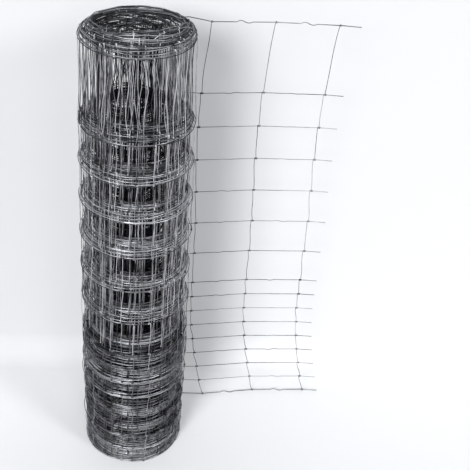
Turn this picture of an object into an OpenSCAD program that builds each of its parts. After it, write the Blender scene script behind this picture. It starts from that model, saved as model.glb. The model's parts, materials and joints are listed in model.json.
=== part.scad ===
// Roll of hinge-joint stock fence, standing on end with its last bays drawn off.
//
// The wound length is one turned tube: its two ends show the turns, and its side shows
// the bands that the line wires build up.  The drawn-off length is made of real wires:
// sixteen line wires, and stay wires that are cut from line to line and wrapped round
// each one, so that every joint is a hinge.
// The roll's axis is Z and it stands on z = 0.  The free end leaves the back of the roll
// and runs towards +X.

/* [Line wires] */
// Bays between line wires at the dense bottom of the fence
narrow_bays = 8; // [1:1:12]
// Height of each of those bays
narrow_bay_h = 50; // [40:1:80]
// Bays between line wires above them
wide_bays = 6; // [1:1:10]
// Height of each of those bays
wide_bay_h = 100; // [60:1:160]
// Height of the single bay under the top line wire
top_bay_h = 200; // [80:1:300]
// Diameter of the top and bottom line wires
edge_wire_d = 2.0; // [1.6:0.1:3.5]
// Diameter of the line wires between them
line_wire_d = 1.6; // [1.2:0.1:3]
// Height of the crimp that lets a line wire stretch
crimp_h = 2.5; // [0:0.5:5]
// Length of that crimp along the wire
crimp_l = 36; // [20:1:60]

/* [Stay wires] */
// Distance between stays along the fence
stay_pitch = 150; // [100:5:300]
// Diameter of the stay wire
stay_wire_d = 1.6; // [1.2:0.1:2.5]
// Turns that a stay's end makes round the line wire
wrap_turns = 2; // [1:0.5:3]
// Gap between a wrap and the line wire in it
wrap_clearance = 0.1; // [0.05:0.05:0.3]

/* [Roll] */
// Turns wound on the roll
turns = 88; // [12:1:120]
// Diameter of the open middle
bore_d = 96; // [60:2:200]
// Outside diameter over the bands at the dense bottom end
outer_d_bottom = 264; // [240:2:420]
// Outside diameter over the bands at the open top end
outer_d_top = 251; // [230:2:420]
// How far the innermost turn stands above the outermost at the top
core_rise = 40; // [0:1:80]
// Height of the band that each line wire builds up on the side
band_h = 16; // [8:1:24]
// How far a band stands out from the side between bands
band_out = 2; // [0.5:0.5:5]
// Depth of the gap between two turns, seen on the ends
turn_gap_depth = 1.5; // [0.5:0.1:3]
// Share of the turn pitch that the gap takes
turn_gap_share = 0.3; // [0.1:0.05:0.5]

/* [Free end] */
// Stays on the drawn-off length that stand clear of the roll
free_stays = 3; // [1:1:8]
// Length of line wire past the last stay
tail_l = 45; // [10:1:75]
// Gap between the side of the roll and the first clear stay, towards +X
first_stay_gap = 20.5; // [10:0.5:100]
// How far the belly of the sheet stands behind the back of the roll
belly_back = 24; // [10:1:70]
// How far the top edge curls forward of the belly
top_curl = 82; // [0:1:90]
// How far the bottom edge curls forward of the belly
foot_curl = 28; // [0:1:60]
// How far the foot of the sheet swings outwards
foot_swing = 44; // [0:1:80]
// How far the shoulder of the sheet sways in towards the roll
shoulder_sway = 8; // [0:1:20]
// Heading of the first clear bay, turned towards the back
first_heading = 6.5; // [0:0.5:15]
// How much each further bay turns back towards the front
bay_turn = 5.5; // [0:0.5:10]
// Share by which the bays shorten along the top edge
top_draw_in = 0.05; // [0:0.01:0.1]

/* [Hidden] */
line_count = 2 + narrow_bays + wide_bays;
fence_h = narrow_bays * narrow_bay_h + wide_bays * wide_bay_h + top_bay_h;

function two_digits(k) = str(k < 10 ? "0" : "", k);
// Line wires are numbered from the top, as a fence's maker does
function line_name(k) = k == 1 ? "top_line_wire"
    : k == line_count ? "bottom_line_wire"
    : str("line_wire_", two_digits(k));
function stays_name(j) = str("stay_wires_", j);

wire_sides = 6;
wrap_sides = 8;
roll_colour = [0.36, 0.37, 0.39];
line_colour = [0.60, 0.61, 0.63];
stay_colour = [0.50, 0.51, 0.53];

bore_r = bore_d / 2;
widest_r = max(outer_d_bottom, outer_d_top) / 2;
stay_r = stay_wire_d / 2;
wrap_l = wrap_turns * stay_wire_d;
wrap_gap = 0.3;
wrap_shift = (wrap_l + wrap_gap) / 2;
straight_l = wrap_l + wrap_gap;
lay_gap = 0.3;
seam_angle = 118;
root_depth = 3;
arc_step = 10;
crimp_steps = 8;

// ---- Heights and radii ----

function line_r(k) = (k == 1 || k == line_count ? edge_wire_d : line_wire_d) / 2;
function wrap_inner_r(k) = line_r(k) + wrap_clearance;
function wrap_outer_r(k) = wrap_inner_r(k) + stay_wire_d;

// The wraps and crimps of the bottom wire stay above the floor, so its axis is that high
foot_z = max(wrap_outer_r(line_count), line_r(line_count) + crimp_h);

// Height of a line wire above the bottom one, with n bays under it
function rise(n) = n <= narrow_bays ? n * narrow_bay_h
    : n <= narrow_bays + wide_bays ? narrow_bays * narrow_bay_h + (n - narrow_bays) * wide_bay_h
    : fence_h;
function line_z(k) = foot_z + rise(line_count - k);

// Radius of the roll over its bands, and between them
function band_r(z) = (outer_d_bottom + (outer_d_top - outer_d_bottom) * z / fence_h) / 2;
function side_r(z) = band_r(z) - band_out;
// Radius at which a drawn-off wire still lies on the roll, on its own wraps
function lay_r(k) = band_r(line_z(k)) + wrap_outer_r(k) + lay_gap;

// ---- Wound roll ----

end_z = foot_z + fence_h + edge_wire_d / 2;
function turn_r(i, outer_r) = bore_r + (outer_r - bore_r) * i / turns;
function turn_top(i) = end_z + core_rise * (1 - i / (turns - 1));

// Bottom end, from the bore outwards, with a gap between each turn and the next
function bottom_end() =
    let (outer_r = band_r(0), gap = turn_gap_share * (outer_r - bore_r) / turns)
    [[bore_r, 0],
     for (i = [1:turns - 1]) let (r = turn_r(i, outer_r))
         each [[r - gap, 0], [r - gap, turn_gap_depth], [r, turn_gap_depth], [r, 0]],
     [outer_r, 0]];

// Side, from the bottom up, with one band at each line wire
function side() =
    [for (n = [0:line_count - 1])
        let (z = foot_z + rise(n), low = z - band_h / 2, high = z + band_h / 2)
        each concat(
            n == 0 ? [] : [[side_r(low - band_out), low - band_out], [band_r(low), low]],
            n == line_count - 1 ? [] : [[band_r(high), high], [side_r(high + band_out), high + band_out]])];

// Top end, from the outside inwards, each turn standing above the one outside it
function top_end() =
    let (outer_r = band_r(end_z), gap = turn_gap_share * (outer_r - bore_r) / turns)
    [[outer_r, turn_top(turns - 1)],
     [turn_r(turns - 1, outer_r), turn_top(turns - 1)],
     for (i = [turns - 2:-1:0])
         let (r = turn_r(i + 1, outer_r), floor_z = turn_top(i + 1) - turn_gap_depth)
         each [[r, floor_z], [r - gap, floor_z],
               [r - gap, turn_top(i)], [turn_r(i, outer_r), turn_top(i)]]];

module wound_roll() {
    color(roll_colour)
        rotate_extrude($fn = 120)
            polygon(concat(bottom_end(), side(), top_end()));
}

// ---- Plan of the free end ----
// Each line wire lies round the back of the roll, leaves it on a tangent, and runs
// straight from stay to stay.  Stay 0 is the last one before the clear ones.  The share
// t runs from 0 at the bottom wire to 1 at the top wire.

belly_t = 0.42;
curl_power = 2.3;
swing_t = 0.25;
swing_power = 1.5;
shoulder_t = 0.5;
edge_power = 4;
edge_heading = 2.5;

function share_up(k) = rise(line_count - k) / fence_h;
function curl(t) = t > belly_t ? top_curl * pow((t - belly_t) / (1 - belly_t), curl_power)
    : foot_curl * pow((belly_t - t) / belly_t, curl_power);
function swing(t) = foot_swing * pow(max(0, 1 - t / swing_t), swing_power);
function sway(t) = t < shoulder_t ? 0
    : let (u = (t - shoulder_t) / (1 - shoulder_t))
      shoulder_sway * (pow(u, edge_power) - sin(180 * u));

function first_stay(t) = [widest_r + first_stay_gap + swing(t) + sway(t),
                          widest_r + belly_back - curl(t)];
function bay_l(t) = stay_pitch * (1 - top_draw_in * pow(t, edge_power));
// Heading of clear bay b, the first of which is 1
function heading(b, t) = first_heading - (b - 1) * bay_turn - edge_heading * pow(t, edge_power);

function along(a) = [cos(a), sin(a)];
function stay_point(j, t) = j <= 1 ? first_stay(t)
    : stay_point(j - 1, t) + bay_l(t) * along(heading(j - 1, t));

// The tangent from the first clear stay to the roll
function tangent_l(k) = sqrt(pow(norm(first_stay(share_up(k))), 2) - pow(lay_r(k), 2));
function tangent_angle(k) = let (p = first_stay(share_up(k)))
    atan2(p[1], p[0]) + acos(lay_r(k) / norm(p));

// Angle round the roll, and plan position, at a distance back from the first clear stay
function back_angle(k, back) = tangent_angle(k)
    + max(0, back - tangent_l(k)) / lay_r(k) * 180 / PI;
function back_point(k, back) = back <= tangent_l(k)
    ? first_stay(share_up(k)) - back * along(tangent_angle(k) - 90)
    : lay_r(k) * along(back_angle(k, back));

// Where stay j crosses line wire k, and which way the line wire points there.  A line
// wire is straight inside the wraps, so it bends half before a joint and half after it.
function joint(j, k) =
    concat(j == 0 ? back_point(k, stay_pitch) : stay_point(j, share_up(k)), line_z(k));
function joint_heading(j, k) = j == 0 ? back_angle(k, stay_pitch) - 90
    : (heading(j, share_up(k)) + (j == 1 ? tangent_angle(k) - 90 : heading(j - 1, share_up(k)))) / 2;
function through_joint(j, k) =
    let (reach = straight_l * concat(along(joint_heading(j, k)), 0))
    [joint(j, k) - reach, joint(j, k) + reach];

// ---- Line wires ----

// The crimp in the middle of a straight bay from p to q
function crimp(p, q) =
    let (l = norm(q - p), way = (q - p) / l)
    [for (i = [0:crimp_steps])
        p + way * (l / 2 + crimp_l * (i / crimp_steps - 0.5))
          + [0, 0, crimp_h * sin(360 * i / crimp_steps)]];

// Points on the back of the roll, from one angle down to another
function arc(k, first, last) =
    let (steps = ceil((first - last) / arc_step))
    [for (i = [0:1:steps]) concat(lay_r(k) * along(first + (last - first) * i / steps), line_z(k))];

// From inside the roll to the tangent point, through stay 0
function lead_in(k) =
    let (z = line_z(k), stay_angle = back_angle(k, stay_pitch),
         margin = 1.5 * straight_l / lay_r(k) * 180 / PI)
    concat([concat((band_r(z) - root_depth) * along(seam_angle), z)],
           arc(k, seam_angle, stay_angle + margin),
           through_joint(0, k),
           stay_angle - margin > tangent_angle(k) ? arc(k, stay_angle - margin, tangent_angle(k)) : []);

function line_path(k) =
    let (clear = concat(back_point(k, min(stay_pitch, tangent_l(k))), line_z(k)),
         tail = tail_l * concat(along(heading(free_stays, share_up(k))), 0))
    concat(lead_in(k),
           crimp(clear, joint(1, k)),
           [for (j = [1:1:free_stays - 1])
               each concat(through_joint(j, k), crimp(joint(j, k), joint(j + 1, k)))],
           through_joint(free_stays, k),
           [joint(free_stays, k) + tail]);

// A tube of flat sides that follows the points of a path
module wire(path, r, sides) {
    count = len(path);
    function direction(i) =
        let (d = path[min(i + 1, count - 1)] - path[max(i - 1, 0)]) d / norm(d);
    function ring(i) =
        let (way = direction(i), across = cross([0, 0, 1], way), flat = across / norm(across),
             up = cross(way, flat))
        [for (a = [0:sides - 1]) path[i] + r * (cos(360 * a / sides) * flat + sin(360 * a / sides) * up)];
    points = [for (i = [0:count - 1]) each ring(i)];
    walls = [for (i = [0:count - 2], a = [0:sides - 1])
        let (b = (a + 1) % sides)
        [i * sides + a, i * sides + b, (i + 1) * sides + b, (i + 1) * sides + a]];
    start = [for (a = [sides - 1:-1:0]) a];
    end = [for (a = [0:sides - 1]) (count - 1) * sides + a];
    polyhedron(points, concat([start], walls, [end]));
}

module line_wire(k) {
    color(line_colour)
        wire(line_path(k), line_r(k), wire_sides);
}

// ---- Stay wires ----

// A straight rod between two points
module rod(p, q, r) {
    d = q - p;
    translate(p)
        rotate([0, acos(d[2] / norm(d)), atan2(d[1], d[0])])
            cylinder(h = norm(d), r = r, $fn = wrap_sides);
}

// The coil that a stay's end makes round line wire k, on one side of the joint
module wrap(j, k, side) {
    a = joint_heading(j, k);
    translate(joint(j, k) + side * wrap_shift * concat(along(a), 0))
        rotate([0, 90, a])
            difference() {
                cylinder(h = wrap_l, r = wrap_outer_r(k), center = true, $fn = wrap_sides);
                cylinder(h = 2 * wrap_l, r = wrap_inner_r(k) / cos(180 / wrap_sides),
                         center = true, $fn = wrap_sides);
            }
}

// Where a stay's shank meets its wrap, behind the line wire
function shank_end(j, k, side) =
    let (a = joint_heading(j, k))
    joint(j, k) + concat(side * wrap_shift * along(a)
                         + (wrap_inner_r(k) + stay_r) * along(a + 90), 0);

// One stay wire, from line wire k + 1 up to line wire k
module stay_piece(j, k) {
    wrap(j, k, -1);
    rod(shank_end(j, k + 1, 1), shank_end(j, k, -1), stay_r);
    wrap(j, k + 1, 1);
}

module stay_wires(j) {
    color(stay_colour)
        for (k = [1:line_count - 1])
            stay_piece(j, k);
}

// ---- Nodes ----

wound_roll();
for (k = [1:line_count])
    line_wire(k);
for (j = [0:free_stays])
    stay_wires(j);
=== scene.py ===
"""Looks for a standing roll of hinge-joint stock fence: every wire of the roll and of its
drawn-off end, in hot-dip galvanised steel, on a pale floor, before a pale wall."""
import json
import math

import bpy
import numpy as np
from mathutils import Matrix, Vector


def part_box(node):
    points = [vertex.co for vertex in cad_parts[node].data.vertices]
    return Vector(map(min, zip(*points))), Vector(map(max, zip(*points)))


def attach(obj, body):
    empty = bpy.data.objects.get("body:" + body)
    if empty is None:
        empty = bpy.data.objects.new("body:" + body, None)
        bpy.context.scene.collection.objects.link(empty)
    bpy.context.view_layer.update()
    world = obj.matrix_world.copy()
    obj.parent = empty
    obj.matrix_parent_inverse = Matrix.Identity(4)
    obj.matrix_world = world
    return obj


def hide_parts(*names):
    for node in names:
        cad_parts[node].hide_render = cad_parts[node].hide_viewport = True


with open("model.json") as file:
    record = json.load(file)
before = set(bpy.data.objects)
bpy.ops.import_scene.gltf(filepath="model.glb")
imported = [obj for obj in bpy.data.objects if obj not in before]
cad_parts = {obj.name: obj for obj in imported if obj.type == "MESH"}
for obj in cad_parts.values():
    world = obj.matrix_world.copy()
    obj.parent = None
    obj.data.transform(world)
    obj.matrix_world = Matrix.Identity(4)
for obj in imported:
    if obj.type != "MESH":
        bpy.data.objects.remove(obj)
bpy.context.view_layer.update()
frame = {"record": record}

# ---- Sizes, in metres, as the frame holds them ----

LINE_NAMES = ["top_line_wire"] + ["line_wire_%02d" % k for k in range(2, 16)] + ["bottom_line_wire"]
LINE_COUNT = len(LINE_NAMES)
EDGE_WIRE_R = 0.0010
LINE_WIRE_R = 0.0008
STAY_WIRE_R = 0.0008
STAY_PITCH = 0.150
WIDE_BAY, MIDDLE_BAY, NARROW_BAY = 0.2, 0.1, 0.05
# Clear stays of the drawn-off end, and the length of line wire past the last one
FREE_STAYS, TAIL = 3, 0.045
# Length of fence on the roll, and how much less the roll's radius is at its top
ROLL_LENGTH, TAPER = 49.35, 0.0065

LINE_Z = [sum(c.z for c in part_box(name)) / 2 for name in LINE_NAMES]
FOOT_Z = LINE_Z[-1]
FENCE_H = LINE_Z[0] - FOOT_Z
BOTTOM_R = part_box("wound_roll")[1].x
TOP_R = BOTTOM_R - TAPER
BORE_R = next(m["dims"]["r_mm"] for m in frame["record"]["mounts"] if m["name"] == "bore") / 1000

# Every random number comes from here, in the order in which the pieces are made
rng = np.random.RandomState(36)


def line_r(k):
    """Radius of line wire k, counted from the top: the two edge wires are thicker."""
    return EDGE_WIRE_R if k in (0, LINE_COUNT - 1) else LINE_WIRE_R


# ---- Plan of the drawn-off end, as the part's own construction has it ----
# t runs from 0 at the bottom wire to 1 at the top wire.

# The first clear stay stands this far out past the roll's side, and its belly behind the roll's back
FIRST_STAY_GAP, BELLY_BACK = 0.0205, 0.024
# From its belly at BELLY_T its top and its foot curl forwards.  Below SWING_T its foot swings out,
# and above SHOULDER_T it sways towards the roll, and out again at the top edge.
BELLY_T, TOP_CURL, FOOT_CURL, CURL_POWER = 0.42, 0.082, 0.028, 2.3
SWING_T, FOOT_SWING, SWING_POWER = 0.25, 0.044, 1.5
SHOULDER_T, SHOULDER_SWAY = 0.5, 0.008
# Directions in degrees: of the first bay, how far each next one turns, and the top edge further
FIRST_HEADING, BAY_TURN, EDGE_HEADING = 6.5, 5.5, 2.5
# Share by which the bays are shorter at the top edge, and how sharply the edge differs
TOP_DRAW_IN, EDGE_POWER = 0.05, 4
# The drawn-off end leaves the roll at this angle, and lies this far outside the bands there
SEAM_ANGLE, LAY_OUT = math.radians(118), 0.0028
# The outermost turn lies this far inside the bands.  The outer turns, about LOOSE_TURNS of them,
# are so loose that they take LOOSE_DEPTH more than tight ones.
UNDER_BAND, LOOSE_DEPTH, LOOSE_TURNS = 0.0025, 0.002, 4.0


def height_share(z):
    """Share t of the fence's height."""
    return (z - FOOT_Z) / FENCE_H


def band_r(t):
    """Outer radius of the roll, which tapers towards its top."""
    return BOTTOM_R + (TOP_R - BOTTOM_R) * t


def lay_r(t):
    """Radius at which the drawn-off end leaves the roll."""
    return band_r(t) + LAY_OUT


def first_stay(t):
    """Plan place of the first clear stay."""
    over = max(0.0, (t - BELLY_T) / (1 - BELLY_T))
    under = max(0.0, (BELLY_T - t) / BELLY_T)
    curl = TOP_CURL * over ** CURL_POWER + FOOT_CURL * under ** CURL_POWER
    swing = FOOT_SWING * max(0.0, 1 - t / SWING_T) ** SWING_POWER
    u = max(0.0, (t - SHOULDER_T) / (1 - SHOULDER_T))
    sway = SHOULDER_SWAY * (u ** EDGE_POWER - math.sin(math.pi * u))
    return np.array([BOTTOM_R + FIRST_STAY_GAP + swing + sway, BOTTOM_R + BELLY_BACK - curl])


def along(a):
    """Unit direction at an angle in plan."""
    return np.array([math.cos(a), math.sin(a)])


def heading(bay, t):
    """Direction of a drawn-off bay, which turns forwards from bay to bay."""
    return math.radians(FIRST_HEADING - (bay - 1) * BAY_TURN - EDGE_HEADING * t ** EDGE_POWER)


def stay_point(j, t):
    """Plan place of clear stay j, from 1 up."""
    place = first_stay(t)
    for bay in range(1, j):
        place = place + STAY_PITCH * (1 - TOP_DRAW_IN * t ** EDGE_POWER) * along(heading(bay, t))
    return place


def tangent(t):
    """Length of the tangent from the first clear stay to the roll, and the angle where it lands."""
    p = first_stay(t)
    reach = math.hypot(*p)
    angle = math.atan2(p[1], p[0]) + math.acos(lay_r(t) / reach)
    return math.sqrt(reach ** 2 - lay_r(t) ** 2), angle


def wound_depth(outer, past):
    """Depth under the outermost turn at an angle past the seam.  The outer few turns are wound
    loosely, and the rest so that the whole length fits over the bore."""
    pitch = math.pi * ((outer - LOOSE_DEPTH) ** 2 - BORE_R ** 2) / ROLL_LENGTH
    turns = past / math.tau
    return pitch * turns + LOOSE_DEPTH * (1 - np.exp(-turns / LOOSE_TURNS))


def on_roll_r(t, angle):
    """Radius of the outermost turn's wires, which climb over the turn below near the seam."""
    past = max(0.0, angle - SEAM_ANGLE)
    outer = band_r(t) - UNDER_BAND
    return outer + (LAY_OUT + UNDER_BAND) * math.exp(-past) - wound_depth(outer, past)


def back_angle(t, back):
    """Angle round the roll at a distance back along the wire from the first clear stay."""
    length, angle = tangent(t)
    return angle + max(0.0, back - length) / lay_r(t)


def back_point(t, back):
    """Plan place at a distance back along the wire from the first clear stay."""
    length, angle = tangent(t)
    if back <= length:
        return first_stay(t) - back * along(angle - math.pi / 2)
    there = back_angle(t, back)
    return on_roll_r(t, there) * along(there)


def free_plan(j, t):
    """Plan place of drawn-off stay j.  Stay 0 still lies on the back of the roll."""
    return back_point(t, STAY_PITCH) if j == 0 else stay_point(j, t)


def free_heading(j, t):
    """Direction of the line wires where they cross drawn-off stay j."""
    if j == 0:
        return back_angle(t, STAY_PITCH) - math.pi / 2
    before = tangent(t)[1] - math.pi / 2 if j == 1 else heading(j - 1, t)
    return (before + heading(j, t)) / 2


# ---- The wound turns ----
# Stay n of the roll is numbered inwards from the seam, and line wire k from the top.  Where a
# size differs up the fence it has two values, for the bottom wire and for the top wire.

WOUND_STAYS = int(ROLL_LENGTH / STAY_PITCH)
JOINT_ROWS = WOUND_STAYS + 1
# This many stays from the seam inwards are drawn with whole coils and every bend
NEAR_STAYS = 60

# The wires are straight between corners, which stand from the low to the high angle apart
FACET_LOW, FACET_HIGH = math.radians(6), math.radians(18)
# The stays lean sideways, and the turns lie a little in or out of the spiral
LEAN, RADIUS_WANDER = 0.0022, 0.0007
# The outer turns have sprung out by up to BULGE, less and less down to BULGE_DEPTH
BULGE, BULGE_DEPTH = 0.008, 0.040
# The innermost turns lean over by this much in x and y at the top
BORE_SHIFT = (-0.030, 0.034)

# The inner turns have risen, in full from RAISED_DEPTH, and more at the front than at the back
RAISED_DEPTH, RAISED_POWER = 0.025, 1.3
RISE_BOTTOM, RISE_TOP = 0.011, 0.023
TILT_BOTTOM, TILT_TOP = 0.065, 0.185
# The innermost have sunk again from this depth on, to SUNK_SHARE of the rise
SUNK_BOTTOM, SUNK_TOP = 0.040, 0.029
SUNK_SHARE, SUNK_FADE = 0.6, 0.006

# The turns have slipped in groups of a few turns each, after the first FIRST_GROUP turns.  There
# are more groups than the roll has turns for.
FIRST_GROUP, GROUP_TURNS, MOST_GROUPS = 0.7, (2.6, 5.6), 80
# Above this share of the height the bays are tall, and each group is two
LOW_SHARE = 0.35
# Each group wanders up and down in three waves round the roll, about a mean above its line wire
WAVES_PER_TURN, WAVE_FADE, GROUP_LIFT = np.array([1, 2, 5]), np.array([1, 1.5, 2.5]), 0.8
SPREAD_BOTTOM, SPREAD_TOP = 0.0006, 0.0036
# The top line wire's groups wander this much more, and each joint wanders by itself too
TOP_WIRE_SPREAD, JOINT_WANDER = 1.5, 0.22
# Within a group each deeper turn lies lower, at this slope
SLOPE_BOTTOM, SLOPE_TOP = 0.5, 0.65

# The innermost turns are crushed from this depth on, and stand at heights that wander this much,
# or this share of it where they are low or high up the fence
DEEP_FROM, DEEP_FADE, DEEP_WANDER = 0.034, 0.010, 0.016
CRUSHED_BOTTOM, CRUSHED_TOP = 0.4, 1.0
# The top line wire has nothing over it, and falls in: at the back from this depth on, and at the
# bore.  It is crushed downwards only, and less than the others.
FALLEN_FROM, FALLEN_FADE = 0.015, 0.055
FALLEN_AT_BACK, FALLEN_AT_BORE, BORE_POWER, TOP_WIRE_CRUSHED = 4.5, 3, 8, 0.4
# This share of the turns kept their shine, and the others have weathered dull all along
BRIGHT_SHARE, WEATHERED = 0.55, 0.8


def facet_corners():
    """Angles of the corners round the roll, where its wires bend over the stays under them."""
    steps = rng.uniform(FACET_LOW, FACET_HIGH, int(math.tau / FACET_LOW))
    ends = np.cumsum(steps)
    count = int(np.argmin(np.abs(ends - math.tau)))
    return ends[:count + 1] * math.tau / ends[count]


CORNERS = facet_corners()


def facet_share(angle):
    """Share of the corner radius that a flat facet leaves at an angle round the roll."""
    turned = np.mod(angle, math.tau)
    above = np.searchsorted(CORNERS, turned) % len(CORNERS)
    high = CORNERS[above]
    low = np.where(above == 0, 0.0, CORNERS[above - 1])
    return np.cos((high - low) / 2) / np.cos(turned - (high + low) / 2)


def corners_between(low, high):
    """Angles of every corner between two angles, counted on through whole turns."""
    first, last = int(low // math.tau), int(high // math.tau)
    every = np.concatenate([CORNERS + math.tau * i for i in range(first - 1, last + 1)])
    return every[(every > low) & (every < high)]


def smooth_noise(rows, columns, keep, sigma):
    """Rows of numbers that wander from row to row.  The nearer keep is to 1, the slower."""
    out = np.zeros((rows, columns))
    out[0] = rng.normal(0, sigma, columns)
    for i in range(1, rows):
        out[i] = keep * out[i - 1] + math.sqrt(1 - keep ** 2) * rng.normal(0, sigma, columns)
    return out


def grown(value, start, width):
    """0 up to start, 1 from start + width on, and even between."""
    return np.clip((value - start) / width, 0, 1)


def between(bottom, top, t):
    """Value at height t of a size that has one value at the bottom wire and one at the top."""
    return bottom + (top - bottom) * t


def upright_angles(t):
    """Angle round the roll of each joint while the stays are upright.  The line wires differ at
    the seam, by half as much from stay to stay."""
    first = np.array([back_angle(s, 2 * STAY_PITCH) for s in t])
    middle_outer = (BOTTOM_R + TOP_R) / 2 - UNDER_BAND
    mean = np.zeros(JOINT_ROWS)
    mean[0] = first.mean()
    for i in range(1, JOINT_ROWS):
        middle_r = middle_outer - wound_depth(middle_outer, mean[i - 1] - mean[0])
        mean[i] = mean[i - 1] + STAY_PITCH / middle_r
    fade = 0.5 ** np.arange(JOINT_ROWS)
    return mean[:, None] + (first - first.mean())[None, :] * fade[:, None]


def sprung_out(t, angle, depth):
    """How far the outer turns have sprung out: nothing at the seam, at the back of the roll, or at
    the foot, and less at the top."""
    # 0 from 62 to 118 degrees round the roll, and 1 on its front
    clear_of_seam = np.clip(1.25 * (1 - np.sin(angle)) - 0.15, 0, 1)
    # Full from a quarter of the height up to near the top, where 0.4 of it is left
    most = BULGE * np.minimum(1, 4 * t) * np.minimum(1, 0.4 + 4 * (1 - t))
    return most[None, :] * clear_of_seam * np.clip(1 - depth / BULGE_DEPTH, 0, 1)


def turn_groups(turns, t):
    """Group of each stay, and the turn at which the group starts for each of its joints."""
    edges = FIRST_GROUP + np.cumsum(rng.uniform(*GROUP_TURNS, MOST_GROUPS))
    edges = np.concatenate([[FIRST_GROUP], edges])
    group = np.searchsorted(edges, turns)
    starts = np.concatenate([[0], edges])
    halves = (starts[:-1] + starts[1:]) / 2
    half_starts = np.where(turns > halves[group], halves[group], starts[group])
    tall = t > LOW_SHARE
    return group, np.where(tall[None, :], half_starts[:, None], starts[group][:, None])


def group_wander(group, angle):
    """Height of each stay's group in its waves round the roll, in units of the spread."""
    shape = (MOST_GROUPS + 2, len(WAVES_PER_TURN))
    sizes = rng.uniform(0.5, 1.0, shape) / WAVE_FADE
    phases = rng.uniform(0, math.tau, shape)
    waves = np.sin(angle.mean(axis=1)[:, None] * WAVES_PER_TURN + phases[group]) * sizes[group]
    return waves.sum(axis=1)[:, None] + GROUP_LIFT


def crushed_heights(t, angle, depth, inner):
    """How far the innermost turns stand above or below their place."""
    crushed = (smooth_noise(JOINT_ROWS, 1, keep=0.9, sigma=DEEP_WANDER)
               + smooth_noise(JOINT_ROWS, LINE_COUNT, keep=0.8, sigma=DEEP_WANDER / 3))
    share = between(CRUSHED_BOTTOM, CRUSHED_TOP, t)
    crushed = crushed * grown(depth, DEEP_FROM, DEEP_FADE) * share[None, :]
    fallen = np.abs(smooth_noise(JOINT_ROWS, 1, keep=0.6, sigma=DEEP_WANDER)[:, 0])
    at_back = 0.5 + 0.5 * np.sin(angle[:, 0])
    fallen_share = (FALLEN_AT_BACK * at_back * grown(depth[:, 0], FALLEN_FROM, FALLEN_FADE)
                    + FALLEN_AT_BORE * inner[:, 0] ** BORE_POWER)
    crushed[:, 0] = -TOP_WIRE_CRUSHED * np.abs(crushed[:, 0]) - fallen_share * fallen
    return crushed


def weathered_turns(turns):
    """How far each stay's turn has weathered dull all along."""
    chance = rng.uniform(0, 1, MOST_GROUPS + 2)
    turn = turns.astype(int) % len(chance)
    return np.where(chance[turn] < BRIGHT_SHARE, 0.0, WEATHERED)


def wound_joints():
    """The hinge joints of the roll, as arrays of stay by line wire: the place, the angle round
    the roll, the radius and the depth of each, and how far each stay's turn has weathered."""
    t = np.array([height_share(z) for z in LINE_Z])
    angle = upright_angles(t)
    lean = smooth_noise(LINE_COUNT, JOINT_ROWS, keep=0.85, sigma=LEAN).T
    lean[0] = 0
    outer = band_r(t) - UNDER_BAND
    past = np.maximum(0, angle - SEAM_ANGLE)
    turns = past.mean(axis=1) / math.tau
    depth = wound_depth(outer[None, :], past)
    radius = outer[None, :] - depth + (LAY_OUT + UNDER_BAND) * np.exp(-past)
    radius = radius + sprung_out(t, angle, depth)
    angle = angle + lean / radius
    settled = (np.arange(JOINT_ROWS) > 0)[:, None]
    radius = radius + settled * smooth_noise(JOINT_ROWS, LINE_COUNT, keep=0.5, sigma=RADIUS_WANDER)
    sunk = between(SUNK_BOTTOM, SUNK_TOP, t)
    inner = np.clip((depth - sunk) / (outer - sunk - BORE_R)[None, :], 0, 1)
    flat = radius * facet_share(angle)
    x = flat * np.cos(angle) + BORE_SHIFT[0] * inner * t[None, :]
    y = flat * np.sin(angle) + BORE_SHIFT[1] * inner * t[None, :]
    group, start_turns = turn_groups(turns, t)
    from_depth = wound_depth(outer[None, :], start_turns * math.tau)
    raised = 1 - np.clip(1 - from_depth / RAISED_DEPTH, 0, 1) ** RAISED_POWER
    raised = raised * (1 - (1 - SUNK_SHARE) * grown(depth, sunk, SUNK_FADE))
    rise = between(RISE_BOTTOM, RISE_TOP, t)
    tilt = between(TILT_BOTTOM, TILT_TOP, t)
    slope = between(SLOPE_BOTTOM, SLOPE_TOP, t)
    spread = between(SPREAD_BOTTOM, SPREAD_TOP, t)
    spread[0] *= TOP_WIRE_SPREAD
    wander = (group_wander(group, angle)
              + smooth_noise(JOINT_ROWS, LINE_COUNT, keep=0.5, sigma=JOINT_WANDER))
    under = (group > 0)[:, None]
    z = (np.array(LINE_Z)[None, :] + raised * (rise[None, :] - tilt[None, :] * y)
         + under * wander * spread[None, :] - slope[None, :] * under * (depth - from_depth))
    z = z + crushed_heights(t, angle, depth, inner)
    # No turn of the bottom line wire goes through the floor
    z[:, -1] = np.maximum(z[:, -1], FOOT_Z)
    return np.stack([x, y, z], -1), angle, radius, depth, weathered_turns(turns)


JOINTS, ANGLE, RADIUS, DEPTH, TURN_DULL = wound_joints()


# ---- How dark the zinc is painted: painted shade and weathering ----
# 0 is bright and 1 is dark.  The wires deep in the roll are painted dark as painted shade, and weathered
# turns are dull.

# From this line wire down the bays are narrow
FIRST_LOW_LINE = 7
# Depths between which the wires are painted from bright to dark, as painted shade deep in the roll
LINE_SHADE_FADE, LOW_LINE_SHADE_FADE = (0.032, 0.044), (0.022, 0.026)
STAY_SHADE_FADE, LOW_STAY_SHADE_FADE = (0.018, 0.048), (0.018, 0.026)
# The top line wire is painted a little darker on the outside too, where the lamps light it fully, and the
# stays of the narrow bays are painted darker as shade
TOP_WIRE_PAINTED_SHADE, TOP_WIRE_DEEPER_SHADE = 0.38, 0.37
LOW_STAY_PAINTED_SHADE, LOW_STAY_DEEPER_SHADE, LOW_STAY_SHADE_DEPTH = 0.3, 0.45, 0.005
# How much of a weathered turn's dullness shows on the top line wire and on the low ones
TOP_WIRE_WEATHERED, LOW_LINE_WEATHERED = 1.1, 0.4
# How much darker the drawn-off wires are at the roll and at the free end
DRAWN_OFF_DARKENING, END_DARKENING = 0.8, 0.1


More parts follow.
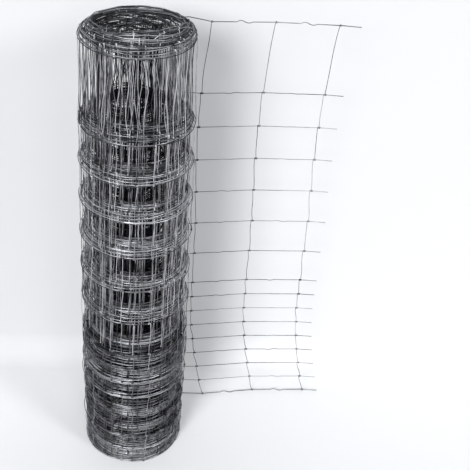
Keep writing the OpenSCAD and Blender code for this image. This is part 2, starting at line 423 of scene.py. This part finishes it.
def line_painted_shade(k, depth):
    """Painted shade of line wire k at a depth in the roll, darker deeper in."""
    low, high = LOW_LINE_SHADE_FADE if k > FIRST_LOW_LINE else LINE_SHADE_FADE
    shade_and_weathering = grown(depth, low, high - low)
    # The top line wire is painted darker all over where the lamps light it, and more deep in the roll
    return TOP_WIRE_PAINTED_SHADE + TOP_WIRE_DEEPER_SHADE * shade_and_weathering if k == 0 else shade_and_weathering


def weathered_share(k):
    """How much of a weathered turn's dullness line wire k takes on."""
    if k == 0:
        return TOP_WIRE_WEATHERED
    return LOW_LINE_WEATHERED if k > FIRST_LOW_LINE else 1.0


def stay_painted_shade(k, depth):
    """Painted shade of the stay wires between line wires k and k + 1 at a depth in the roll."""
    if k < FIRST_LOW_LINE:
        return grown(depth, STAY_SHADE_FADE[0], STAY_SHADE_FADE[1] - STAY_SHADE_FADE[0])
    # The stays of the narrow bays are painted darker as shade from their outside on, and more a few
    # millimetres in
    least = LOW_STAY_PAINTED_SHADE + LOW_STAY_DEEPER_SHADE * grown(depth, 0, LOW_STAY_SHADE_DEPTH)
    return np.maximum(grown(depth, LOW_STAY_SHADE_FADE[0], LOW_STAY_SHADE_FADE[1] - LOW_STAY_SHADE_FADE[0]), least)


def drawn_off_darkening(x):
    """How much darker the drawn-off wires are, less and less towards the free end."""
    return DRAWN_OFF_DARKENING + (END_DARKENING - DRAWN_OFF_DARKENING) * grown(x, BOTTOM_R, 3 * STAY_PITCH)


# ---- Line wires ----

# Shares of a bay at which a line wire has its points.  The crimp is the wave bent into its middle,
# and is drawn finely on the drawn-off end only.
CRIMP = np.array([0.38, 0.44, 0.5, 0.56, 0.62])
FREE_CRIMP = np.linspace(0.37, 0.63, 13)
FREE_STEPS = np.concatenate([[0.1, 0.2, 0.3], FREE_CRIMP, [0.7, 0.8, 0.9]])
LEAST_STEP = 0.01
# Height of the crimp on the wound wires, on the drawn-off edge wires and on the other drawn-off ones
CRIMP_SIZE, EDGE_CRIMP_SIZE, FREE_CRIMP_SIZE = (0.0004, 0.0014), 0.0030, (-0.0018, 0.0014)
# How far a span droops or rises, at the bottom wire and more at the top, and bows in or out
DROOP, MORE_DROOP, BOW = 0.0003, 0.0010, 0.0016
# A line wire is straight this far on both sides of a drawn-off joint
STRAIGHT = 0.004


def crimp_wave(f, crimp):
    """One wave over the shares of a bay in crimp, its first half the taller."""
    u = grown(f, crimp[0], crimp[-1] - crimp[0])
    return np.sin(math.tau * u) * np.where(u < 0.5, 1.15, 0.85)


def turning(n, k, f):
    """Points of line wire k between joints n and n - 1, at shares f of the bay, on a spiral, and
    the angle of each round the roll."""
    start, stop = JOINTS[n, k], JOINTS[n - 1, k]
    a, b = ANGLE[n, k], ANGLE[n - 1, k]
    centre_start = start[:2] - RADIUS[n, k] * facet_share(a) * along(a)
    centre_stop = stop[:2] - RADIUS[n - 1, k] * facet_share(b) * along(b)
    turn = a + (b - a) * f
    r = (RADIUS[n, k] + (RADIUS[n - 1, k] - RADIUS[n, k]) * f) * facet_share(turn)
    centre = centre_start[None, :] + (centre_stop - centre_start)[None, :] * f[:, None]
    plan = centre + r[:, None] * np.stack([np.cos(turn), np.sin(turn)], -1)
    return np.column_stack([plan, start[2] + (stop[2] - start[2]) * f]), turn


def span_steps(n, k, near):
    """Shares of the bay between joints n and n - 1 at which line wire k bends.  A deep wire bends
    at every other corner and has no crimp, and bends that all but meet are one."""
    a, b = ANGLE[n, k], ANGLE[n - 1, k]
    corners = (a - corners_between(b, a)[::-1]) / (a - b)
    f = np.sort(np.concatenate([corners, CRIMP]) if near else corners[::2])
    f = np.concatenate([[0], f[(f > LEAST_STEP) & (f < 1 - LEAST_STEP)]])
    return f[np.concatenate([[True], np.diff(f) > LEAST_STEP])]


def wound_line(k, first, last):
    """Points of line wire k inside the roll, outwards from joint last to joint first, and how
    dark its zinc is painted at each: painted shade deep in the roll, and weathered turns."""
    t = height_share(LINE_Z[k])
    points, depths, dulls = [], [], []
    for n in range(last, first, -1):
        near = n <= NEAR_STAYS
        f = span_steps(n, k, near)
        place, turn = turning(n, k, f)
        bow = np.sin(math.pi * f)
        if near:
            place[:, 2] += rng.uniform(*CRIMP_SIZE) * crimp_wave(f, CRIMP)
        place[:, 2] += bow * rng.normal(0, DROOP + MORE_DROOP * t)
        out = bow * rng.normal(0, BOW)
        place[:, 2] = np.maximum(place[:, 2], line_r(k))
        place[:, 0] += out * np.cos(turn)
        place[:, 1] += out * np.sin(turn)
        points.append(place)
        depths.append(DEPTH[n, k] + (DEPTH[n - 1, k] - DEPTH[n, k]) * f)
        dulls.append(np.full(len(f), TURN_DULL[n]))
    points.append(JOINTS[first, k][None, :])
    depths.append([DEPTH[first, k]])
    dulls.append([TURN_DULL[first]])
    weathered = weathered_share(k) * np.concatenate(dulls)
    return np.concatenate(points), np.maximum(line_painted_shade(k, np.concatenate(depths)), weathered)


def free_line(k):
    """Points of line wire k from the outermost wound joint, which is left out, to its cut end."""
    z = LINE_Z[k]
    t = height_share(z)
    points = []

    def joint(j):
        place = np.append(free_plan(j, t), z)
        reach = STRAIGHT * np.append(along(free_heading(j, t)), 0)
        return [place - reach, place, place + reach]

    def bay(place):
        size = EDGE_CRIMP_SIZE if k in (0, LINE_COUNT - 1) else rng.uniform(*FREE_CRIMP_SIZE)
        wave = size * crimp_wave(FREE_STEPS, FREE_CRIMP)
        return [np.append(place(f), z + w) for f, w in zip(FREE_STEPS, wave)]

    points += bay(lambda f: back_point(t, STAY_PITCH * (2 - f)))
    points += joint(0)
    points += bay(lambda f: back_point(t, STAY_PITCH * (1 - f)))
    for j in range(1, FREE_STAYS):
        points += joint(j)
        here, there = stay_point(j, t), stay_point(j + 1, t)
        points += bay(lambda f: here + (there - here) * f)
    points += joint(FREE_STAYS)
    last = np.append(stay_point(FREE_STAYS, t), z)
    points.append(last + TAIL * np.append(along(heading(FREE_STAYS, t)), 0))
    return np.array(points)


# Spans of the top line wire that have sprung clear of their neighbours: the angle in degrees and
# the radius of each end, and how dull it is
SPRUNG_SPANS = [(-150, 0.112, -80, 0.104, 0.0), (172, 0.108, -132, 0.100, 0.3),
                (-72, 0.108, -6, 0.116, 0.2), (24, 0.106, 98, 0.094, 0.3),
                (-118, 0.114, -40, 0.092, 0.4), (128, 0.100, -168, 0.114, 0.1)]
# How far such a span stands over the tilted turns, dips at its ends and bows outwards
SPRUNG_LIFT, SPRUNG_DIP, SPRUNG_BOW = 0.006, 0.014, 0.006


def sprung_span(start_angle, start_r, stop_angle, stop_r):
    """Points of one such span, whose two ends dip in among the other turns."""
    start = start_r * along(math.radians(start_angle))
    stop = stop_r * along(math.radians(stop_angle))
    f = np.linspace(0, 1, 15)
    plan = start + (stop - start) * f[:, None]
    middle_out = SPRUNG_BOW * along(math.radians(start_angle + ((stop_angle - start_angle) % 360) / 2))
    plan = plan + middle_out * np.sin(math.pi * f)[:, None]
    height = LINE_Z[0] + RISE_TOP - TILT_TOP * plan[:, 1] + SPRUNG_LIFT - SPRUNG_DIP * (2 * f - 1) ** 4
    return np.column_stack([plan, height])


# ---- Stay wires ----

# Turns of a coil and points in each turn: two whole turns on the drawn-off end, and fewer points
# in the roll
FREE_COIL, WOUND_COIL = (2.0, 12), (1.4, 5)
# A coil is this much wider and longer than a tight one, so that its wires don't touch
COIL_GAP, WRAP_GAP = 1.04, 1.02
# Where along the line wire the two coils of a stay begin, from the joint's place
UPPER_COIL_AT, LOWER_COIL_AT = -0.0034, 0.0002
# In the deep turns the upper and the lower ends stand apart by twice this
DEEP_END_APART = 0.0010
# Points of a shank between its coils
NEAR_POINTS = {WIDE_BAY: 9, MIDDLE_BAY: 6, NARROW_BAY: 4}
DEEP_POINTS = {WIDE_BAY: 3, MIDDLE_BAY: 2, NARROW_BAY: 2}
FREE_POINTS = 14
# How far a shank of the widest bay is bent sideways, in one, two and three half waves, and how
# sharply less in a smaller bay
SWAY, SWAY_POWER, SWAY_WAVES = 0.0042, 2.2, (1.4, 1.2, 0.8)
# How far shanks are drawn in on the inner turns, and further on the outer ones, and bowed at random
DRAWN_IN, OUTER_DRAWN_IN, DRAWN_IN_DEPTH, SHANK_BOW = 0.0006, 0.0020, 0.006, 0.0018
# A shank of the drawn-off end sways sideways by about this much
FREE_SWAY = 0.0009


def coil(place, way, wire_radius, shank_at, turns, per_turn, upper):
    """Points of the coil that a stay's end makes round a line wire, from its cut end to the shank."""
    way = way / np.linalg.norm(way)
    out = np.cross(way, [0, 0, 1])
    out = -out / np.linalg.norm(out)
    up = np.array([0.0, 0.0, 1.0])
    steps = int(round(turns * per_turn))
    turned = np.arange(steps, -1, -1) / per_turn
    psi = math.tau * turned * (1 if upper else -1)
    r = (wire_radius + STAY_WIRE_R) * COIL_GAP
    shift = shank_at + turned * 2 * STAY_WIRE_R * WRAP_GAP
    return (place[None, :] + shift[:, None] * way[None, :]
            + r * (np.cos(psi)[:, None] * out[None, :] + np.sin(psi)[:, None] * up[None, :]))


def stay_piece(top, top_way, top_r, low, low_way, low_r, shank, turns, per_turn):
    """One stay wire: a coil, a shank and a coil.  shank holds offsets from the straight line."""
    a = coil(top, top_way, top_r, UPPER_COIL_AT + STAY_WIRE_R, turns, per_turn, True)
    b = coil(low, low_way, low_r, LOWER_COIL_AT + STAY_WIRE_R, turns, per_turn, False)[::-1]
    f = np.linspace(0, 1, len(shank) + 2)[1:-1]
    middle = a[-1][None, :] + (b[0] - a[-1])[None, :] * f[:, None] + shank
    return np.concatenate([a, middle, b])


def simple_end(place, out, radius, upper):
    """The few points of a deep joint's coil: over the line wire and down behind it."""
    up = np.array([0, 0, 1.0 if upper else -1.0])
    r = radius + STAY_WIRE_R
    return np.array([place - r * out, place + r * up, place + r * out])


def wound_row(k):
    """Every stay wire of the roll between line wires k and k + 1, from the seam inwards."""
    bay = LINE_Z[k] - LINE_Z[k + 1]
    bay_kind = round(bay, 2)
    lateral = SWAY * (bay / WIDE_BAY) ** SWAY_POWER
    paths = []
    for n in range(WOUND_STAYS):
        a = ANGLE[n, k]
        out = np.array([math.cos(a), math.sin(a), 0])
        side = np.array([math.sin(a), -math.cos(a), 0])
        near = n < NEAR_STAYS
        f = np.linspace(0, 1, (NEAR_POINTS if near else DEEP_POINTS)[bay_kind] + 2)[1:-1]
        sway = lateral * sum(rng.uniform(-most, most) * np.sin((i + 1) * math.pi * f)
                             for i, most in enumerate(SWAY_WAVES))
        drawn_in = DRAWN_IN + OUTER_DRAWN_IN * math.exp(-DEPTH[n, k] / DRAWN_IN_DEPTH)
        swell = rng.normal(-drawn_in, SHANK_BOW) * (bay / MIDDLE_BAY) ** 0.5 * np.sin(math.pi * f)
        shank = sway[:, None] * side[None, :] + swell[:, None] * out[None, :]
        top, low = JOINTS[n, k], JOINTS[n, k + 1]
        if near:
            paths.append(stay_piece(top, side, line_r(k), low, side, line_r(k + 1), shank, *WOUND_COIL))
        else:
            upper = simple_end(top - DEEP_END_APART * side, out, line_r(k), True)
            lower = simple_end(low + DEEP_END_APART * side, out, line_r(k + 1), False)[::-1]
            middle = upper[-1] + (lower[0] - upper[-1]) * f[:, None] + shank
            paths.append(np.concatenate([upper, middle, lower]))
    return paths


def free_stay(j):
    """The 15 stay wires of drawn-off stay j."""
    paths = []
    for k in range(LINE_COUNT - 1):
        ends = []
        for row in (k, k + 1):
            t = height_share(LINE_Z[row])
            ends.append((np.append(free_plan(j, t), LINE_Z[row]),
                         np.append(along(free_heading(j, t)), 0)))
        (top, top_way), (low, low_way) = ends
        f = np.linspace(0, 1, FREE_POINTS + 2)[1:-1]
        heights = LINE_Z[k] + (LINE_Z[k + 1] - LINE_Z[k]) * f
        curve = np.array([np.append(free_plan(j, height_share(z)), z) for z in heights])
        straight = top[None, :] + (low - top)[None, :] * f[:, None]
        sway = FREE_SWAY * rng.normal() * np.sin(math.tau * f)
        shank = curve - straight + sway[:, None] * top_way[None, :]
        paths.append(stay_piece(top, top_way, line_r(k), low, low_way, line_r(k + 1), shank, *FREE_COIL))
    return paths


# ---- Making the pieces ----

# A tube of four sides is this much larger, so that it looks as wide as the round wire
SQUARE_R = 1.12
# The zinc's brightness changes over this many points along a wire
TONE_STEP = 8
# The corners of a cap meet those of the wire's end ring, and are merged with them
MERGE_DISTANCE = 0.00002


def add_attribute(piece, name, cap_values, ring_values):
    """Gives each vertex of the piece a number under this name."""
    made = piece.data.attributes.new(name, "FLOAT", "POINT")
    made.data.foreach_set("value", np.concatenate([cap_values, ring_values]).astype(np.float32))


def wandering_tone(size):
    """How bright the zinc is along one wire, from point to point."""
    knots = rng.uniform(0, 1, size // TONE_STEP + 2)
    steps = np.interp(np.arange(size) / TONE_STEP, np.arange(len(knots)), knots)
    return 0.5 * rng.uniform(0, 1) + 0.5 * steps


def wires(name, paths, painted_shade_and_weathering, radius, resolution):
    """One mesh of round wires, each along a path of its own.  How dark the zinc is painted, by painted
    shade and weathering, has one number for each path, or one for each of its points."""
    curve = bpy.data.curves.new(name, "CURVE")
    curve.dimensions = "3D"
    curve.bevel_depth = radius
    curve.bevel_resolution = resolution
    curve.use_fill_caps = True
    curve.twist_mode = "MINIMUM"
    for path in paths:
        spline = curve.splines.new("POLY")
        spline.points.add(len(path) - 1)
        spline.points.foreach_set("co", np.column_stack([path, np.ones(len(path))]).ravel())
    piece = bpy.data.objects.new(name, curve)
    bpy.context.scene.collection.objects.link(piece)
    bpy.ops.object.select_all(action="DESELECT")
    bpy.context.view_layer.objects.active = piece
    piece.select_set(True)
    bpy.ops.object.convert(target="MESH")
    piece = bpy.context.object
    bpy.ops.object.shade_smooth()
    # The caps come first in the mesh, last wire first, and then the rings of each wire in turn
    sizes = np.array([len(path) for path in paths])
    corners = len(piece.data.vertices) // (sizes.sum() + 2 * len(paths))
    tones = [wandering_tone(size) for size in sizes]
    painted_shade_and_weathering = [np.broadcast_to(shade_and_weathering, len(path)) for shade_and_weathering, path in zip(painted_shade_and_weathering, paths)]
    # The second attribute holds how dark the zinc is painted: painted shade deep in the roll, and
    # weathered turns
    for key, values in (("wire_tone", tones), ("wire_shade_and_weathering", painted_shade_and_weathering)):
        caps = np.concatenate([[value[-1], value[0]] for value in reversed(values)])
        add_attribute(piece, key, np.repeat(caps, corners), np.repeat(np.concatenate(values), corners))
    bpy.ops.object.mode_set(mode="EDIT")
    bpy.ops.mesh.select_all(action="SELECT")
    bpy.ops.mesh.remove_doubles(threshold=MERGE_DISTANCE)
    bpy.ops.object.mode_set(mode="OBJECT")
    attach(piece, "root")
    return piece


# ---- Materials ----

# Zinc runs thicker in patches of about 22 mm.  Its spangle is finer than a millimetre on wire,
# and is drawn at 2.4 mm so that it shows.
PATCHES_PER_METRE, SPANGLES_PER_METRE = 45.0, 420.0
# How much of the brightness comes from the patches and how much from the tone along the wire
PATCH_SHARE, TONE_SHARE = 0.55, 0.5
# Brightnesses at which the dark and the light colour are reached
DARK_AT, LIGHT_AT = 0.35, 0.7
# Zinc that is painted dark as shade deep in the roll, and zinc of weathered turns, is this dark, and this
# much rougher
SHADE_AND_WEATHERED_ZINC, DULL_ROUGHER = "#1c1d20", 0.2
# The spangle stands this far out of the zinc, and shows by this share of its slope
SPANGLE_DEPTH, SPANGLE_STRENGTH = 0.0002, 0.15

# The wall stands close behind the roll, and its foot is curved
WALL_Y, COVE_R = 0.30, 0.08
FLOOR_COLOUR, WALL_COLOUR = "#e2e3e5", "#c7c8ca"
# Low values turn the floor's colour to the wall's close above the floor
COVE_BLEND = 0.3
PAINT_ROUGHNESS = 0.9


def linear(hex_colour):
    """An sRGB hex colour as linear red, green and blue, with alpha."""
    channels = [int(hex_colour[i:i + 2], 16) / 255 for i in (1, 3, 5)]
    return [c / 12.92 if c <= 0.04045 else ((c + 0.055) / 1.055) ** 2.4 for c in channels] + [1.0]


def node(tree, kind, settings=None, **inputs):
    """Adds a shader node.  Inputs go by name, or by number as i0, i1 and so on, and are values or
    sockets to link from."""
    made = tree.nodes.new(kind)
    for key, value in (settings or {}).items():
        setattr(made, key, value)
    for key, value in inputs.items():
        numbered = key[0] == "i" and key[1:].isdigit()
        socket = made.inputs[int(key[1:])] if numbered else made.inputs[key]
        if isinstance(value, bpy.types.NodeSocket):
            tree.links.new(value, socket)
        else:
            socket.default_value = value
    return made


def galvanised(name, dark, light, rough_low, rough_high):
    """Hot-dip galvanised steel: drawn wire dipped in zinc and wiped.  To the eye it is a soft grey
    metal with broad blurred glints, brighter and darker in patches where the zinc is thicker or
    thinner, dark on weathered turns, and painted nearly black deep in the roll as painted shade."""
    material = bpy.data.materials.new(name)
    material.use_nodes = True
    tree = material.node_tree
    tree.nodes.clear()
    coords = node(tree, "ShaderNodeTexCoord").outputs["Object"]
    patch = node(tree, "ShaderNodeTexNoise", Vector=coords, Scale=PATCHES_PER_METRE, Detail=3.0,
                 Roughness=0.6)
    spangle = node(tree, "ShaderNodeTexNoise", Vector=coords, Scale=SPANGLES_PER_METRE, Detail=2.0,
                   Roughness=0.5).outputs["Fac"]
    tone = node(tree, "ShaderNodeAttribute", {"attribute_name": "wire_tone"})
    shade_and_weathering = node(tree, "ShaderNodeAttribute", {"attribute_name": "wire_shade_and_weathering"}).outputs["Fac"]
    patches = node(tree, "ShaderNodeMath", {"operation": "MULTIPLY"},
                   i0=patch.outputs["Fac"], i1=PATCH_SHARE)
    brightness = node(tree, "ShaderNodeMath", {"operation": "MULTIPLY_ADD"},
                      i0=tone.outputs["Fac"], i1=TONE_SHARE, i2=patches.outputs[0])
    zinc = node(tree, "ShaderNodeValToRGB", Fac=brightness.outputs[0])
    for stop, position, colour in zip(zinc.color_ramp.elements, (DARK_AT, LIGHT_AT), (dark, light)):
        stop.position = position
        stop.color = linear(colour)
    # The zinc goes to the dark colour where painted shade lies deep in the roll, and on weathered turns
    colour = node(tree, "ShaderNodeMix", {"data_type": "RGBA"}, Factor=shade_and_weathering,
                  i6=zinc.outputs["Color"], i7=linear(SHADE_AND_WEATHERED_ZINC))
    rough = node(tree, "ShaderNodeMapRange", Value=spangle, i3=rough_low, i4=rough_high)
    rougher = node(tree, "ShaderNodeMapRange", Value=shade_and_weathering, i3=0.0, i4=DULL_ROUGHER)
    roughness = node(tree, "ShaderNodeMath", i0=rough.outputs[0], i1=rougher.outputs[0])
    bump = node(tree, "ShaderNodeBump", Strength=SPANGLE_STRENGTH, Distance=SPANGLE_DEPTH, Height=spangle)
    shader = node(tree, "ShaderNodeBsdfPrincipled", Metallic=1.0, Roughness=roughness.outputs[0],
                  Normal=bump.outputs["Normal"])
    tree.links.new(colour.outputs[2], shader.inputs["Base Color"])
    node(tree, "ShaderNodeOutputMaterial", Surface=shader.outputs[0])
    return material


def seen_directly(tree):
    """1 for camera, glossy and transmission rays, and 0 for the rest."""
    path = node(tree, "ShaderNodeLightPath")
    some = node(tree, "ShaderNodeMath", {"operation": "MAXIMUM"},
                i0=path.outputs["Is Camera Ray"], i1=path.outputs["Is Glossy Ray"])
    return node(tree, "ShaderNodeMath", {"operation": "MAXIMUM"},
                i0=some.outputs[0], i1=path.outputs["Is Transmission Ray"]).outputs[0]


def pale_paint():
    """Matt paint of the floor and the wall, even and without glints.  The wall gets more light, and
    so is painted darker.  The paint shows only from the front, so that the wall doesn't hide the
    roll's back."""
    material = bpy.data.materials.new("pale_paint")
    material.use_nodes = True
    tree = material.node_tree
    shader = tree.nodes["Principled BSDF"]
    coords = node(tree, "ShaderNodeTexCoord").outputs["Object"]
    height = node(tree, "ShaderNodeSeparateXYZ", Vector=coords).outputs["Z"]
    share = node(tree, "ShaderNodeMapRange", Value=height, i2=COVE_R).outputs[0]
    up = node(tree, "ShaderNodeMath", {"operation": "POWER"}, i0=share, i1=COVE_BLEND).outputs[0]
    colour = node(tree, "ShaderNodeMix", {"data_type": "RGBA"}, Factor=up,
                  i6=linear(FLOOR_COLOUR), i7=linear(WALL_COLOUR))
    tree.links.new(colour.outputs[2], shader.inputs["Base Color"])
    shader.inputs["Roughness"].default_value = PAINT_ROUGHNESS
    clear = node(tree, "ShaderNodeBsdfTransparent")
    behind = node(tree, "ShaderNodeNewGeometry").outputs["Backfacing"]
    side = node(tree, "ShaderNodeMixShader", i0=behind, i1=shader.outputs[0], i2=clear.outputs[0])
    tree.links.new(side.outputs[0], tree.nodes["Material Output"].inputs["Surface"])
    return material


paint = pale_paint()
line_zinc = galvanised("galvanised_line_wire", "#17181a", "#c2c4c9", 0.28, 0.42)
stay_zinc = galvanised("galvanised_stay_wire", "#303135", "#d4d5d9", 0.42, 0.58)


# ---- Build ----

for k, name in enumerate(LINE_NAMES):
    outer_turns, painted_shade_and_weathering = wound_line(k, 0, NEAR_STAYS)
    drawn_off = free_line(k)
    path = np.concatenate([outer_turns, drawn_off])
    painted_shade_and_weathering = np.concatenate([painted_shade_and_weathering, drawn_off_darkening(drawn_off[:, 0])])
    piece = wires(name + "_outer_turns", [path], [painted_shade_and_weathering], line_r(k), 1)
    piece.data.materials.append(line_zinc)
    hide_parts(name, "wound_roll")
    path, painted_shade_and_weathering = wound_line(k, NEAR_STAYS, WOUND_STAYS - 1)
    piece = wires(name + "_inner_turns", [path], [painted_shade_and_weathering], SQUARE_R * line_r(k), 0)
    piece.data.materials.append(line_zinc)
    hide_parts("wound_roll")

for k in range(LINE_COUNT - 1):
    piece = wires("wound_stay_wires_row_%02d" % (k + 1), wound_row(k),
                  stay_painted_shade(k, DEPTH[:WOUND_STAYS, k]), SQUARE_R * STAY_WIRE_R, 0)
    piece.data.materials.append(stay_zinc)
    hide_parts("wound_roll")

for j in range(FREE_STAYS + 1):
    paths = free_stay(j)
    painted_shade_and_weathering = [drawn_off_darkening(path[:, 0]) for path in paths]
    piece = wires("drawn_off_stay_%d" % j, paths, painted_shade_and_weathering, STAY_WIRE_R, 1)
    piece.data.materials.append(stay_zinc)
    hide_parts("stay_wires_%d" % j)

piece = wires("sprung_spans_of_the_top_line_wire", [sprung_span(*span[:4]) for span in SPRUNG_SPANS],
              [span[4] for span in SPRUNG_SPANS], EDGE_WIRE_R, 1)
piece.data.materials.append(line_zinc)
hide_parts("wound_roll")

# ---- Floor, light and camera ----

FLOOR_SIZE, WALL_HEIGHT = 30, 6

bpy.ops.mesh.primitive_plane_add(size=FLOOR_SIZE, location=(0, 0, 0))
floor = bpy.context.object
floor.name = "floor"
floor.data.materials.append(paint)


def wall():
    """A sheet that curves up from the floor close behind the roll, facing the front."""
    angles = np.linspace(0, math.pi / 2, 17)
    across = WALL_Y - COVE_R + COVE_R * np.sin(angles)
    up = COVE_R - COVE_R * np.cos(angles)
    profile = np.column_stack([np.append(across, WALL_Y), np.append(up, WALL_HEIGHT)])
    count = len(profile)
    places = [(x, y, z) for x in (-FLOOR_SIZE / 2, FLOOR_SIZE / 2) for y, z in profile]
    faces = [(i, i + count, i + count + 1, i + 1) for i in range(count - 1)]
    mesh = bpy.data.meshes.new("wall")
    mesh.from_pydata(places, [], faces)
    mesh.shade_smooth()
    mesh.materials.append(paint)
    piece = bpy.data.objects.new("wall", mesh)
    bpy.context.scene.collection.objects.link(piece)


wall()

# White where it is seen, and weaker as a light on the wires
SKY_SEEN, SKY_LIGHT = 1.0, 0.17
world = bpy.data.worlds.new("studio")
bpy.context.scene.world = world
world.use_nodes = True
sky = world.node_tree
strength = node(sky, "ShaderNodeMapRange", Value=seen_directly(sky), i3=SKY_LIGHT, i4=SKY_SEEN)
sky.nodes["Background"].inputs["Color"].default_value = (1, 1, 1, 1)
sky.links.new(strength.outputs[0], sky.nodes["Background"].inputs["Strength"])


def lamp(name, azimuth, elevation, strength, spread):
    """A distant soft lamp.  Azimuth and elevation say where it stands, in degrees, and spread how
    wide it looks from the roll."""
    made = bpy.data.lights.new(name, "SUN")
    made.energy = strength
    made.angle = math.radians(spread)
    holder = bpy.data.objects.new(name, made)
    a, e = math.radians(azimuth), math.radians(elevation)
    towards = Vector((math.cos(a) * math.cos(e), math.sin(a) * math.cos(e), math.sin(e)))
    holder.rotation_euler = towards.to_track_quat("Z", "Y").to_euler()
    holder.location = 4 * towards
    bpy.context.scene.collection.objects.link(holder)


lamp("key_lamp", -116, 28, 3.1, 22)
lamp("front_lamp", -75, 28, 0.6, 20)
lamp("side_lamp", -40, 30, 1.2, 16)

# The camera's place in metres, its turns in radians, and its lens in millimetres
CAMERA_PLACE = Vector((0.0346, -1.904, 2.0891))
CAMERA_YAW, CAMERA_PITCH, CAMERA_ROLL = -0.1079, 0.6336, 0.0855
CAMERA_LENS, SENSOR_WIDTH = 74.63, 36


def add_camera():
    """The camera looks down by the pitch, is turned by the yaw, and leans by CAMERA_ROLL."""
    forward = Vector((-math.sin(CAMERA_YAW) * math.cos(CAMERA_PITCH),
                      math.cos(CAMERA_YAW) * math.cos(CAMERA_PITCH), -math.sin(CAMERA_PITCH)))
    level = Vector((math.cos(CAMERA_YAW), math.sin(CAMERA_YAW), 0))
    upright = level.cross(forward)
    right = level * math.cos(CAMERA_ROLL) + upright * math.sin(CAMERA_ROLL)
    up = upright * math.cos(CAMERA_ROLL) - level * math.sin(CAMERA_ROLL)
    data = bpy.data.cameras.new("camera")
    data.sensor_width = SENSOR_WIDTH
    data.lens = CAMERA_LENS
    holder = bpy.data.objects.new("camera", data)
    turn = Matrix((right, up, -forward)).transposed().to_4x4()
    holder.matrix_world = Matrix.Translation(CAMERA_PLACE) @ turn
    bpy.context.scene.collection.objects.link(holder)
    bpy.context.scene.camera = holder


add_camera()
bpy.context.scene.view_settings.view_transform = "Standard"
